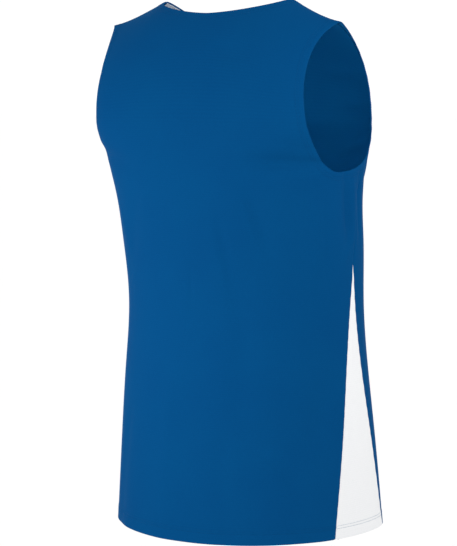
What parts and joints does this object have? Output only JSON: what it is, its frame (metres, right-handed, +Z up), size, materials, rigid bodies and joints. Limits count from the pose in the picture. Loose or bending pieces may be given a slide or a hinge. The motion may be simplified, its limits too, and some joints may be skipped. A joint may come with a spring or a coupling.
{
  "type": "basketball jersey",
  "caption": "Sleeveless sports jersey in its worn, hollow form, open at neck, armholes and hem, with contrast side inserts that widen to the hem.",
  "frame": {"origin": "about midway between the middles of the two shoulder seams, where the wearer's shoulders hold the jersey up", "axes": "+Z up along the jersey, front faces -Y, back faces +Y, the wearer's right is -X"},
  "size_m": [0.399, 0.3275, 0.7563],
  "materials": {
    "blue_knit": "matt polyester knit",
    "white_knit": "matt polyester knit"
  },
  "bodies": {
    "root": {"back_panel": "blue_knit", "front_panel": "blue_knit", "neck_band": "white_knit", "insert_left": "white_knit", "insert_right": "white_knit"}
  },
  "joints": []
}
